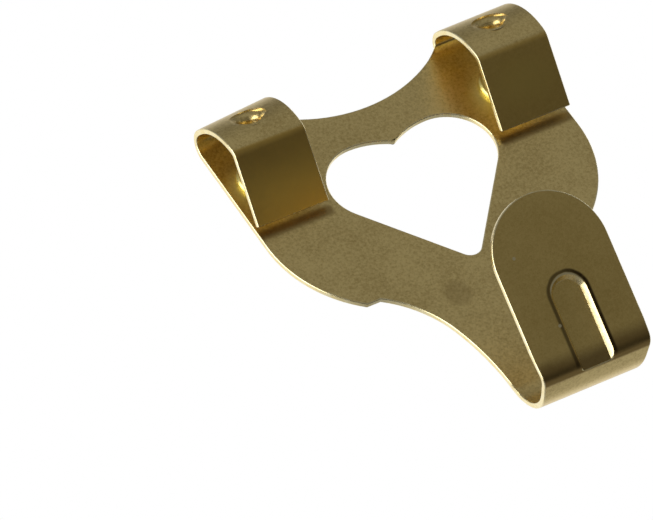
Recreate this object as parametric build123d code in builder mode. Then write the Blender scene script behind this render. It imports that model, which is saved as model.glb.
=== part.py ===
from build123d import *
import math
import os

# Brass double picture hook, folded from one punched sheet. Millimetres, +Z up, +X to the right,
# the back face on the wall plane Y = 0 and the front towards -Y.
# Z = 0 is the line through the two lower fixing holes, X = 0 the line of symmetry.

# Sheet
sheet = 0.6

# Loops at the top: strips that roll forwards, arch over and fold back down onto the plate.
# The left one rolls over lower on its outer side.
loop_spacing = 29.0
strip_width = 8.3
roll_start = 5.6
inner_rise = 1.15
left_outer_rise = 0.4
right_outer_rise = 1.3
roll_radius = 1.9
roll_turn = 118.0
fold_reach = 7.0
fold_height = 1.1
fold_radius = 1.5
foot_height = -5.4
foot_gap = 0.45

# Fixing holes: one through each roof and one through the plate behind it, on a slanted line
pin_bore = 1.15
pin_slope = 37.0
dish_radius = 2.0
dish_depth = 0.9
collar_wall = 0.55
roof_collar = 1.5
plate_collar = 0.7
plate_collar_radius = 2.8
plate_collar_round = 0.45

# Bridge between the loops
bridge_top = 4.4
bridge_radius = 16.8

# Heart opening: two lobe circles and a tip circle, with the lobes cut back to a cusp
heart_aside = 0.25
heart_lobe_offset = 4.65
heart_lobe_height = -4.45
heart_lobe_radius = 4.85
heart_tip_height = -16.0
heart_tip_radius = 1.3
heart_brow_radius = 9.0
heart_cusp_round = 0.4

# Shoulders, side notches and waist
shoulder_height = -7.2
shoulder_radius = 13.7
notch_height = -18.1
neck_half_width = 5.55
neck_radius = 30.0
neck_turn = 17.0
waist_radius = 13.0

# Bend and lip
bend_start = -33.6
bend_radius = 5.5
bend_flat = 1.5
crease_radius = 1.5
lip_lean = 29.9
lip_length = 17.1
lip_half_width = 6.4
lip_flare_depth = 9.0

# Groove pressed into the lip, round at its top and running out at the crease
groove_half_width = 2.0
groove_length = 8.3
groove_depth = 0.55
groove_draft = 35.0
groove_wall = 0.3

strip_inner = (loop_spacing - strip_width) / 2
strip_outer = (loop_spacing + strip_width) / 2
pin_rise = math.radians(pin_slope)
pin_direction = Vector(0, -math.cos(pin_rise), math.sin(pin_rise))

# Plate: the right half of the outline, mirrored, and the quarter roll that carries the bridge
# into the loops, both cut back to the bridge's hollow top edge
shoulder_turn = math.degrees(math.asin((shoulder_height - notch_height) / shoulder_radius))
neck_sine = math.sin(math.radians(neck_turn))
waist_sine = neck_sine + (notch_height - bend_start - neck_radius * neck_sine) / waist_radius
waist_turn = math.degrees(math.asin(waist_sine)) - neck_turn

with BuildPart() as plate:
    with BuildSketch(Plane.XZ):
        with BuildLine():
            strip_edge = Line((strip_outer, roll_start), (strip_outer, shoulder_height))
            shoulder = JernArc(strip_edge @ 1, (0, -1), shoulder_radius, -shoulder_turn)
            neck = JernArc((neck_half_width, bend_start), (0, 1), neck_radius, -neck_turn)
            waist = JernArc(neck @ 1, neck % 1, waist_radius, -waist_turn)
            Line(waist @ 1, shoulder @ 1)
            Polyline(neck @ 0, (0, bend_start), (0, roll_start), strip_edge @ 0)
        make_face()
        mirror(about=Plane.YZ)
    extrude(amount=sheet)
    with BuildSketch(Plane.YZ):
        with BuildLine():
            web_root = Line((0, roll_start), (0, roll_start + inner_rise))
            JernArc(web_root @ 1, (0, 1), roll_radius, 90)
            offset(amount=sheet, side=Side.LEFT)
        make_face()
    extrude(amount=strip_inner, both=True)
    with BuildSketch(Plane.XZ):
        with Locations((0, bridge_top + bridge_radius)):
            Circle(bridge_radius)
    extrude(amount=roll_radius + sheet, mode=Mode.SUBTRACT)

    # Heart opening, right through
    with BuildSketch(Plane.XZ):
        lobe_left, lobe_right = heart_aside - heart_lobe_offset, heart_aside + heart_lobe_offset
        with Locations((lobe_left, heart_lobe_height), (lobe_right, heart_lobe_height)):
            Circle(heart_lobe_radius)
        with Locations((0, heart_tip_height)):
            Circle(heart_tip_radius)
        make_hull()
        with BuildSketch(mode=Mode.SUBTRACT):
            with BuildLine():
                heart_top = heart_lobe_height + heart_lobe_radius
                brow_turn = math.degrees(math.asin(heart_lobe_offset / heart_brow_radius))
                right_brow = JernArc((lobe_right, heart_top), (-1, 0), heart_brow_radius, brow_turn)
                left_brow = JernArc((lobe_left, heart_top), (1, 0), heart_brow_radius, -brow_turn)
                Line(right_brow @ 0, left_brow @ 0)
            make_face()
            fillet(vertices().sort_by(Axis.Y)[0], radius=heart_cusp_round)
    extrude(amount=sheet, mode=Mode.SUBTRACT)

    # Lower fixing holes: collars drawn forwards, bored along the slanted line
    collar_height = (sheet + plate_collar / 2) * math.tan(pin_rise)
    with BuildSketch(Plane.XZ.offset(sheet)):
        with Locations((-loop_spacing / 2, collar_height), (loop_spacing / 2, collar_height)):
            Circle(plate_collar_radius)
    extrude(amount=plate_collar)
    fillet(edges(Select.LAST).group_by(Axis.Y)[0], plate_collar_round)
    left_pin = Plane(origin=(-loop_spacing / 2, 0, 0), x_dir=(1, 0, 0), z_dir=pin_direction)
    right_pin = Plane(origin=(loop_spacing / 2, 0, 0), x_dir=(1, 0, 0), z_dir=pin_direction)
    with BuildSketch(left_pin, right_pin):
        Circle(pin_bore)
    extrude(amount=plate_collar_radius + sheet, both=True, mode=Mode.SUBTRACT)

# Loops: each strip rolls forwards, arches over and folds back until its foot nearly meets the plate
fold_start = Vector(-fold_reach, fold_height)
foot = Vector(-2 * sheet - foot_gap, foot_height)
with BuildPart() as loops:
    for pin, side, outer_rise in ((left_pin, -1, left_outer_rise), (right_pin, 1, right_outer_rise)):
        roof_reach = 0
        for edge, rise in ((strip_inner, inner_rise), (strip_outer, outer_rise)):
            with BuildSketch(Plane.YZ.offset(side * edge)) as profile:
                with BuildLine():
                    root = Line((0, roll_start), (0, roll_start + rise))
                    roll = JernArc(root @ 1, (0, 1), roll_radius, roll_turn)
                    roof = TangentArc(roll @ 1, fold_start, tangent=roll % 1)
                    roof_end = roof % 1
                    to_foot = foot - fold_start - Vector(-roof_end.Y, roof_end.X) * fold_radius
                    flap_heading = math.atan2(to_foot.Y, to_foot.X) + math.asin(fold_radius / to_foot.length)
                    fold_turn = math.degrees(flap_heading - math.atan2(roof_end.Y, roof_end.X))
                    fold = JernArc(fold_start, roof_end, fold_radius, fold_turn)
                    Line(fold @ 1, foot)
                    offset(amount=sheet, side=Side.LEFT)
                make_face()
            # Where the line of the fixing pin leaves the roof, halfway along the crest
            hub = roof.arc_center
            along = hub.Y * math.sin(pin_rise) - hub.X * math.cos(pin_rise)
            across = hub.Y * math.cos(pin_rise) + hub.X * math.sin(pin_rise)
            roof_reach += (along + math.sqrt(roof.radius**2 - across**2)) / 2
        loft(ruled=True)

        # Upper fixing hole: a bell-mouthed dish in the roof that runs into a collar inside the loop
        collar_end = roof_reach - roof_collar
        collar_outside = pin_bore + collar_wall
        section = Plane(origin=pin.origin, x_dir=(1, 0, 0), z_dir=-pin.y_dir)
        with BuildSketch(section):
            with BuildLine():
                collar_top = roof_reach - 0.75 * sheet
                Polyline((0, collar_end), (collar_outside, collar_end), (collar_outside, collar_top),
                         (0, collar_top), close=True)
            make_face()
        revolve(axis=Axis(pin.origin, pin_direction))
        with BuildSketch(section):
            with BuildLine():
                bore = Polyline((0, collar_end - sheet), (pin_bore, collar_end - sheet),
                                (pin_bore, roof_reach - dish_depth))
                dish = TangentArc(bore @ 1, (dish_radius, roof_reach), tangent=(0, 1))
                clear = roof_reach + dish_radius
                Polyline(dish @ 1, (dish_radius, clear), (0, clear), bore @ 0)
            make_face()
        revolve(axis=Axis(pin.origin, pin_direction), mode=Mode.SUBTRACT)

# Bend and lip: the neck turns forwards under the hook, up at a tight crease and on into the lip
with BuildPart() as lip:
    with BuildSketch(Plane.YZ):
        with BuildLine():
            bend = JernArc((0, bend_start), (0, -1), bend_radius, -90)
            flat = Line(bend @ 1, (bend @ 1) - (bend_flat, 0))
            crease = JernArc(flat @ 1, (-1, 0), crease_radius, lip_lean - 90)
            Line(crease @ 1, (crease @ 1) + (crease % 1) * lip_length)
            offset(amount=sheet, side=Side.RIGHT)
        make_face()
    extrude(amount=lip_half_width, both=True)

    # The sides draw in towards the neck, and the lip ends in a half circle
    lip_tilt = math.radians(lip_lean)
    lip_face = Plane(
        origin=(0, (crease @ 1).X, (crease @ 1).Y),
        x_dir=(1, 0, 0),
        z_dir=(0, -math.cos(lip_tilt), -math.sin(lip_tilt)),
    )
    flare = lip_flare_depth
    with BuildSketch(Plane.XY.offset(bend_start - bend_radius)):
        with BuildLine():
            Polyline((0, 0), (neck_half_width, 0), (neck_half_width, -sheet), (lip_half_width, -flare),
                     (lip_half_width, -flare - lip_length), (0, -flare - lip_length))
            mirror(about=Plane.YZ)
        make_face()
    extrude(amount=bend_radius + crease_radius + lip_length, mode=Mode.INTERSECT)
    with BuildSketch(lip_face):
        with Locations((0, lip_length - lip_half_width)):
            Circle(lip_half_width)
            Rectangle(2 * lip_half_width, lip_length + 2 * bend_radius, align=(Align.CENTER, Align.MAX))
    extrude(amount=bend_radius + flare, both=True, mode=Mode.INTERSECT)

# Groove: a recess in the outer face, with the metal it displaces standing proud inside
with BuildPart() as recess:
    with BuildSketch(lip_face):
        with Locations((0, groove_length - groove_half_width)):
            Circle(groove_half_width)
            groove_run = groove_length - groove_half_width + crease_radius
            Rectangle(2 * groove_half_width, groove_run, align=(Align.CENTER, Align.MAX))
    extrude(amount=-groove_depth, taper=groove_draft)

with BuildPart() as ridge:
    with BuildSketch(lip_face.offset(-sheet)):
        with Locations((0, groove_length - groove_half_width)):
            Circle(groove_half_width + groove_wall)
            ridge_run = groove_length - groove_half_width + sheet
            Rectangle(2 * (groove_half_width + groove_wall), ridge_run, align=(Align.CENTER, Align.MAX))
    extrude(amount=-groove_depth, taper=groove_draft)

# The whole hook is one piece of sheet
with BuildPart() as picture_hook:
    add(plate.part)
    add(loops.part)
    add(lip.part)
    add(ridge.part)
    add(recess.part, mode=Mode.SUBTRACT)

os.makedirs("parts", exist_ok=True)
picture_hook.part.label = "picture_hook"
export_step(picture_hook.part, "parts/picture_hook.step")
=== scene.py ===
import math

import bmesh
import bpy
from mathutils import Matrix, Vector


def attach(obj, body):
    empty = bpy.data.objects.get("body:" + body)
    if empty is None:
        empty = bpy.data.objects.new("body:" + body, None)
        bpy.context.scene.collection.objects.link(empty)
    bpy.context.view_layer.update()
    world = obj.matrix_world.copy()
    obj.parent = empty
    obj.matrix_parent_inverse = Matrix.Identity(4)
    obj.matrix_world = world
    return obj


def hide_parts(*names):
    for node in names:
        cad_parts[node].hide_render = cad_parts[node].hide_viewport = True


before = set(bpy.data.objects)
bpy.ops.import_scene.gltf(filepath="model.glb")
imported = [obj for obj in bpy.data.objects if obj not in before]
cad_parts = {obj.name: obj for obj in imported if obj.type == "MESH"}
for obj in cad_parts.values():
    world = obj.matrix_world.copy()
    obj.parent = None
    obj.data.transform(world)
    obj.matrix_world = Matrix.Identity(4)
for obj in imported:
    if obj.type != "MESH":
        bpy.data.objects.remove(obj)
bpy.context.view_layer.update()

# ---------------------------------------------------------------------------
# The hook: one piece of brass sheet 0.6 mm thick, punched out and folded. The sheet is dull
# from the rolling mill, with a fine mottled grain and a thumb mark, and painted shade in its folds;
# its punched edges are bright and a little rough.
# ---------------------------------------------------------------------------
EDGE_BREAK = 0.00012          # m, round on the punched edges
EDGE_STEPS = 3                # facets of that round
CUT_BAND = 0.00036            # m, area over outline of a face that is only a cut edge
WELD_REACH = 1e-7             # m, joins corners of the edge round that fall on one point
FLAT = math.radians(0.02)     # faces that meet at less are one flat face
CORNER = math.radians(40)     # edges above this shade as sharp
PUNCHED = math.radians(66)    # and above this are punched edges
HOLE_ASIDE = 0.0145           # m, from the middle to the line through each loop's two holes
HOLE_SLOPE = math.radians(37.0)
HOLE_AXIS = Vector((0.0, -math.cos(HOLE_SLOPE), math.sin(HOLE_SLOPE)))
DISH_REACH = 0.0031           # m, from those lines to past the dishes and collars
FOOT_AHEAD = 0.00165          # m, from the wall to the outer face of a flap's foot
FOOT_LOW = 0.0054             # m, from the lower fixing holes down to it
FLAP_SLOPE = 0.9185           # m forward for each m up the flap
FOOT_SHADOW_LOW = 0.0058             # m, from the lower fixing holes down to the painted shadow along the feet
GROOVE_MIDDLE = 0.0328        # m, down to the middle of the groove's round top
LIP_SLANT = 1.153             # length along the lip for each m up
GROOVE_WALL = 0.00220         # m, from the groove's middle line to the painted shade on its wall
GROOVE_RIM = 0.00186          # m, and to the painted highlight on its top
LIP_SPECKS = ((-0.00408, -0.01409, -0.02828), (-0.00236, -0.0102, -0.03505))
SPECK = (0.00022, 0.00022, 0.00022)
SHEET_BRASS = (0.90, 0.71, 0.30, 1.0)
DULL_BRASS = (0.62, 0.46, 0.17, 1.0)
# Sheared edge brass, also the colour of the painted highlight on the groove's top and of the lip's
# specks
EDGE_BRASS_AND_HIGHLIGHT = (0.97, 0.86, 0.53, 1.0)
# The thumb mark's stain, and painted shade in the lip's crease, on the flaps and along the flap feet
DARK_STAIN_AND_SHADE = (0.30, 0.19, 0.06, 1.0)
# Painted shade along the groove's walls
GROOVE_SHADE = (0.08, 0.05, 0.018, 1.0)
# The lip's golden tint, and the painted golden reflection on the flaps
GOLD_TINT_AND_REFLECTION = (1.00, 0.66, 0.13, 1.0)
# Painted light: the yellow glow inside the loops
PAINTED_INNER_GLOW = (1.00, 0.86, 0.30, 1.0)


class Socket:
    """A node socket that takes arithmetic: an expression on it adds the Math nodes it needs."""

    def __init__(self, tree, out):
        self.tree, self.out = tree, out

    def _math(self, operation, *values):
        return node(self.tree, "ShaderNodeMath", {"operation": operation}, dict(enumerate(values)))

    def __add__(self, other):
        return self._math("ADD", self, other)

    def __sub__(self, other):
        return self._math("SUBTRACT", self, other)

    def __rsub__(self, other):
        return self._math("SUBTRACT", other, self)

    def __mul__(self, other):
        return self._math("MULTIPLY", self, other)

    def __abs__(self):
        return self._math("ABSOLUTE", self)

    __radd__ = __add__
    __rmul__ = __mul__

    def clamp(self):
        return self._math("MINIMUM", self._math("MAXIMUM", self, 0.0), 1.0)


def node(tree, kind, settings=None, values=None, output=0):
    """Adds a node: its settings first, then its sockets' values or links. Returns one output."""
    made = tree.nodes.new(kind)
    for name, value in (settings or {}).items():
        setattr(made, name, value)
    for name, value in (values or {}).items():
        if isinstance(value, Socket):
            tree.links.new(value.out, made.inputs[name])
        else:
            made.inputs[name].default_value = value
    return Socket(tree, made.outputs[output]) if len(made.outputs) else made


def spot(tree, place, centre, reach, soft):
    """1 inside the ellipsoid of that reach round the centre, 0 outside, eased over the soft share:
    the length of the distance from the centre, divided by the reach along each axis."""
    away = node(tree, "ShaderNodeVectorMath", {"operation": "SUBTRACT"}, {0: place, 1: centre})
    away = node(tree, "ShaderNodeVectorMath", {"operation": "DIVIDE"}, {0: away, 1: reach})
    length = node(tree, "ShaderNodeVectorMath", {"operation": "LENGTH"}, {0: away}, output=1)
    return ease(length, 1.0 - soft, 1.0, 1.0, 0.0)


def ease(value, low, high, first, last):
    """A smooth step from first to last while value goes from low to high."""
    return node(
        value.tree,
        "ShaderNodeMapRange",
        {"interpolation_type": "SMOOTHSTEP"},
        {"Value": value, "From Min": low, "From Max": high, "To Min": first, "To Max": last},
    )


def noise(tree, place, scale, detail, rough):
    """Noise with so many cells to the metre."""
    values = {"Vector": place, "Scale": scale, "Detail": detail, "Roughness": rough}
    return node(tree, "ShaderNodeTexNoise", {}, values)


def blend(tree, share, first, second):
    """A colour between two colours."""
    return node(tree, "ShaderNodeMix", {"data_type": "RGBA"}, {0: share, 6: first, 7: second}, output=2)


def finish_brass(mat, tree, colour, rough, height, strength):
    """The metal shader: colour and roughness from the grain, relief from its height in 0.02 mm."""
    relief = {"Strength": strength, "Distance": 0.00002, "Height": height}
    bump = node(tree, "ShaderNodeBump", {}, relief)
    values = {"Base Color": colour, "Metallic": 1.0, "Roughness": rough, "Normal": bump}
    shader = node(tree, "ShaderNodeBsdfPrincipled", {}, values)
    node(tree, "ShaderNodeOutputMaterial", {}, {"Surface": shader})
    return mat


def new_material(name):
    """An empty material, its node tree and the point that is shaded."""
    mat = bpy.data.materials.new(name)
    mat.use_nodes = True
    mat.node_tree.nodes.clear()
    return mat, mat.node_tree, node(mat.node_tree, "ShaderNodeTexCoord", output=3)


def sheet_material():
    """Rolled brass: fine mottled grain, faint clouds and a thumb mark, with painted shade in the
    crease, the groove and on and under the flaps, painted golden reflections on the flaps and in the
    loops, and a painted highlight on the groove's top.
    """
    mat, tree, place = new_material("rolled_brass")
    grain = noise(tree, place, 3000.0, 2.5, 0.65)
    fleck = noise(tree, place, 7600.0, 1.0, 0.5)
    cloud = noise(tree, place, 230.0, 3.0, 0.55)
    split = node(tree, "ShaderNodeSeparateXYZ", {}, {"Vector": place})
    across, ahead, high = (Socket(tree, out) for out in split.out.node.outputs)
    on_lip = ease(ahead, -0.0082, -0.0074, 1.0, 0.0)
    tone = (grain - 0.5) * (2.4 - on_lip) + (fleck - 0.5) * 1.1 + (cloud - 0.5) * 1.2 + 0.66
    tone = tone.clamp()
    colour = blend(tree, tone, DULL_BRASS, SHEET_BRASS)

    # Painted light: a yellow glow of light thrown about inside both loops; the lip is a little yellower
    # too
    for side in (-1, 1):
        loop_glow = spot(tree, place, (side * HOLE_ASIDE, -0.0027, 0.0000), (0.0076, 0.0040, 0.0050), 0.5)
        colour = blend(tree, loop_glow * 0.9, colour, PAINTED_INNER_GLOW)
    colour = blend(tree, on_lip * 0.35, colour, GOLD_TINT_AND_REFLECTION)

    # Both flaps have a painted golden reflection on their front, the face on the line from foot to
    # fold, stronger on the left one;
    # painted shade darkens the left one most just under its fold and the right one evenly
    strip = ease(abs(across), 0.0098, 0.0104, 0.0, 1.0)
    behind = ahead + FOOT_AHEAD + (high + FOOT_LOW) * FLAP_SLOPE
    face = ease(behind, 0.0002, 0.0005, 1.0, 0.0) * strip
    face = face * ease(high, -0.0056, -0.0053, 0.0, 1.0) * ease(high, 0.0004, 0.0016, 1.0, 0.0)
    left = ease(across, -0.005, 0.005, 1.0, 0.0)
    colour = blend(tree, face * (left * 0.25 + 0.65), colour, GOLD_TINT_AND_REFLECTION)
    shade = left * ease(high, -0.0040, 0.0004, 0.0, 0.6) + (1.0 - left) * 0.3
    colour = blend(tree, face * shade * (cloud * 0.8 + 0.5).clamp(), colour, DARK_STAIN_AND_SHADE)

    # Painted shadow: a dark line on the plate's front along the foot of each flap, where the gap under
    # the flap lies in shade
    foot_shadow = ease(abs(high + FOOT_SHADOW_LOW), 0.0003, 0.0010, 1.0, 0.0) * strip
    foot_shadow = foot_shadow * ease(ahead, -0.0010, -0.0007, 0.0, 1.0) * ease(ahead, -0.0004, -0.0002, 1.0, 0.0)
    colour = blend(tree, foot_shadow * 0.75, colour, DARK_STAIN_AND_SHADE)

    # A thumb mark on the neck, and painted shade: a dark line above the crease of the lip
    thumb = spot(tree, place, (-0.0043, -0.0006, -0.0209), (0.0018, 0.0005, 0.0021), 0.45)
    colour = blend(tree, thumb * 0.30, colour, DARK_STAIN_AND_SHADE)
    low = high + (cloud - 0.5) * 0.0009
    crease_shade = ease(low, -0.0384, -0.0368, 1.0, 0.0) * ease(ahead, -0.0072, -0.0068, 1.0, 0.0)
    colour = blend(tree, crease_shade * 0.85, colour, DARK_STAIN_AND_SHADE)

    # Painted shade along the walls of the pressed groove, thickest on the right, by the distance from
    # its middle line, which ends at the middle of its round top
    climb = ((low + GROOVE_MIDDLE) * LIP_SLANT).clamp()
    away = node(tree, "ShaderNodeMath", {"operation": "SQRT"}, {0: across * across + climb * climb})
    wall_shade = ease(abs(away - GROOVE_WALL), 0.00008, 0.00032, 1.0, 0.0) * on_lip
    wall_shade = wall_shade * ease(across, -0.0005, 0.0020, 0.75, 1.0) * (grain * 0.5 + 0.75).clamp()
    colour = blend(tree, wall_shade, colour, GROOVE_SHADE)

    # A painted highlight on the groove's round top, just inside that line
    rim = ease(abs(away - GROOVE_RIM), 0.00006, 0.00022, 1.0, 0.0)
    rim = rim * ease(climb, 0.0001, 0.0009, 0.0, 1.0) * on_lip
    colour = blend(tree, rim * 0.75, colour, EDGE_BRASS_AND_HIGHLIGHT)

    # Two bright specks on the lip
    for centre in LIP_SPECKS:
        colour = blend(tree, spot(tree, place, centre, SPECK, 0.4) * 0.8, colour, EDGE_BRASS_AND_HIGHLIGHT)
    rough = grain * 0.16 + cloud * 0.10 + 0.20
    return finish_brass(mat, tree, colour, rough, grain * 0.7 + fleck * 0.3, 0.35)


def edge_material():
    """Freshly sheared brass: brighter than the sheet and drawn into short rough steps."""
    mat, tree, place = new_material("punched_edge")
    steps = noise(tree, place, 1300.0, 3.0, 0.7)
    colour = blend(tree, ((steps - 0.5) * 2.5 + 0.7).clamp(), SHEET_BRASS, EDGE_BRASS_AND_HIGHLIGHT)
    return finish_brass(mat, tree, colour, steps * 0.2 + 0.16, steps, 0.5)


def mark_cut_faces(bm):
    """Gives material 1 to the punched edges: regions bounded by sharp edges whose area is under
    CUT_BAND times their outline's length, so bands about as wide as the sheet is thick."""
    left = set(bm.faces)
    while left:
        region, open_faces = set(), [left.pop()]
        while open_faces:
            face = open_faces.pop()
            region.add(face)
            for edge in face.edges:
                for other in edge.link_faces:
                    if edge.smooth and other in left:
                        left.discard(other)
                        open_faces.append(other)
        rim = sum(e.calc_length() for f in region for e in f.edges if not e.smooth)
        area = sum(f.calc_area() for f in region)
        if area < CUT_BAND * rim:
            for face in region:
                face.material_index = 1


def finer_hook(cad):
    """The CAD sheet with its flat faces joined up and its punched edges broken to a small round.
    The dishes and collars round the fixing holes, which were drawn and not punched, stay out of
    that: an edge is left alone when its distance from the line through the holes, the length of
    its place less the part of it along that line, is within the dish's reach."""
    mesh = bpy.data.meshes.new("brass_hook")
    bm = bmesh.new()
    bm.from_mesh(cad.data)
    bmesh.ops.remove_doubles(bm, verts=bm.verts, dist=2e-6)
    bmesh.ops.dissolve_limit(bm, angle_limit=FLAT, verts=bm.verts, edges=bm.edges)
    for face in bm.faces:
        face.smooth = True
    for edge in bm.edges:
        edge.smooth = len(edge.link_faces) == 2 and edge.calc_face_angle() < CORNER
    mark_cut_faces(bm)
    weights = bm.edges.layers.float.new("bevel_weight_edge")
    for edge in bm.edges:
        middle = (edge.verts[0].co + edge.verts[1].co) / 2
        aside = Vector((abs(middle.x) - HOLE_ASIDE, middle.y, middle.z))
        off_line = (aside - HOLE_AXIS * aside.dot(HOLE_AXIS)).length
        punched = not edge.smooth and edge.calc_face_angle(0.0) > PUNCHED
        edge[weights] = 1.0 if punched and off_line > DISH_REACH else 0.0
    bm.to_mesh(mesh)
    bm.free()
    hook = bpy.data.objects.new("brass_hook", mesh)
    bpy.context.scene.collection.objects.link(hook)
    bevel = hook.modifiers.new("broken edges", "BEVEL")
    bevel.width = EDGE_BREAK
    bevel.segments = EDGE_STEPS
    bevel.limit_method = "WEIGHT"
    bevel.use_clamp_overlap = False
    bevel.miter_outer = "MITER_ARC"
    bevel.material = 1
    bevel.harden_normals = True
    weld = hook.modifiers.new("joined corners", "WELD")
    weld.merge_threshold = WELD_REACH
    return hook


hook = finer_hook(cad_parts["picture_hook"])
hook.data.materials.append(sheet_material())
hook.data.materials.append(edge_material())
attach(hook, "root")
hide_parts("picture_hook")

# ---------------------------------------------------------------------------
# The studio: a white table's glow behind the hook, a dim room in front of it, a large soft
# lamp on the left, a smaller one on the right and behind, and a pale floor far below.
# ---------------------------------------------------------------------------
BEHIND = 0.97                 # brightness of the world behind the hook
BELOW = 0.22                  # what it gains behind and below
ROOM = 0.17                   # and of the room in front of it
ROOM_UP = 0.10                # what the room gains towards its ceiling
LEFT_GLOW = 3.0               # brightness of the lamps' faces
RIGHT_GLOW = 1.2
WHITE = (1.0, 1.0, 1.0, 1.0)
FLOOR = -0.9                  # m, height of the floor
FLOOR_REACH = 6.0             # m, from its middle to its edges

world = bpy.data.worlds.new("studio")
bpy.context.scene.world = world
world.use_nodes = True
tree = world.node_tree
tree.nodes.clear()
rays = node(tree, "ShaderNodeLightPath", output=0)
direction = node(tree, "ShaderNodeTexCoord", output=0)
split = node(tree, "ShaderNodeSeparateXYZ", {}, {"Vector": direction})
depth, height = (Socket(tree, out) for out in list(split.out.node.outputs)[1:])

ceiling = ease(height, -0.3, 0.6, 0.0, ROOM_UP) * ease(depth, -0.6, -0.1, 1.0, 0.0)
room = ease(height, -1.0, -0.2, 0.05, ROOM)
above = ease(height, -0.5, 0.1, 0.0, 1.0)
table = ease(depth, 0.0, 0.75, 0.0, BEHIND - ROOM) * above
table = table + ease(depth, -0.1, 0.2, 0.0, BELOW) * (1.0 - above)
strength = table + ceiling + room
plain = node(tree, "ShaderNodeBackground", {}, {"Color": WHITE, "Strength": strength})
white = node(tree, "ShaderNodeBackground", {}, {"Color": WHITE, "Strength": 1.0})
shown = node(tree, "ShaderNodeMixShader", {}, {0: rays, 1: plain, 2: white})
node(tree, "ShaderNodeOutputWorld", {}, {"Surface": shown})

floor_mesh = bpy.data.meshes.new("floor")
corners = [(x * FLOOR_REACH, y * FLOOR_REACH, FLOOR) for x, y in ((-1, -1), (1, -1), (1, 1), (-1, 1))]
floor_mesh.from_pydata(corners, [], [(0, 1, 2, 3)])
floor = bpy.data.objects.new("floor", floor_mesh)
bpy.context.scene.collection.objects.link(floor)
pale = bpy.data.materials.new("pale_floor")
pale.use_nodes = True
tree = pale.node_tree
tree.nodes.clear()
rays = node(tree, "ShaderNodeLightPath", output=0)
lit = node(tree, "ShaderNodeBsdfDiffuse", {}, {"Color": (0.8, 0.8, 0.79, 1.0)})
glow = node(tree, "ShaderNodeEmission", {}, {"Color": (1.0, 1.0, 0.99, 1.0), "Strength": rays * 0.55})
both = node(tree, "ShaderNodeAddShader", {}, {0: lit, 1: glow})
node(tree, "ShaderNodeOutputMaterial", {}, {"Surface": both})
floor.data.materials.append(pale)
floor.visible_glossy = False


def lamp(name, place, size, brightness):
    """A square area lamp that faces the hook, from the brightness of its face."""
    data = bpy.data.lights.new(name, "AREA")
    data.shape = "SQUARE"
    data.size = size
    data.energy = brightness * math.pi * size**2
    made = bpy.data.objects.new(name, data)
    made.location = place
    made.rotation_euler = Vector(place).to_track_quat("Z", "Y").to_euler()
    bpy.context.scene.collection.objects.link(made)
    return made


lamp("left_lamp", (-0.95, -0.20, 0.10), 1.1, LEFT_GLOW)
lamp("right_lamp", (0.85, 0.40, 0.50), 0.5, RIGHT_GLOW)

# ---------------------------------------------------------------------------
# The camera, below and left of the hook and in front of it, with a long lens.
# ---------------------------------------------------------------------------
SENSOR = 36.0                 # mm
LENS = 341.4                  # mm
CAMERA_PLACE = (-0.2541, -0.48055, -0.3284)

camera = bpy.data.objects.new("camera", bpy.data.cameras.new("camera"))
camera.data.sensor_width = SENSOR
camera.data.lens = LENS
camera.data.clip_start = 0.01
right = Vector((0.8575, -0.0948, -0.5057))
up = Vector((0.3412, -0.6309, 0.6968))
back = -Vector((0.3851, 0.7700, 0.5087))
turn = Matrix((right, up, back)).transposed().to_4x4()
camera.matrix_world = Matrix.Translation(CAMERA_PLACE) @ turn
bpy.context.scene.collection.objects.link(camera)
bpy.context.scene.camera = camera
bpy.context.scene.view_settings.view_transform = "Standard"
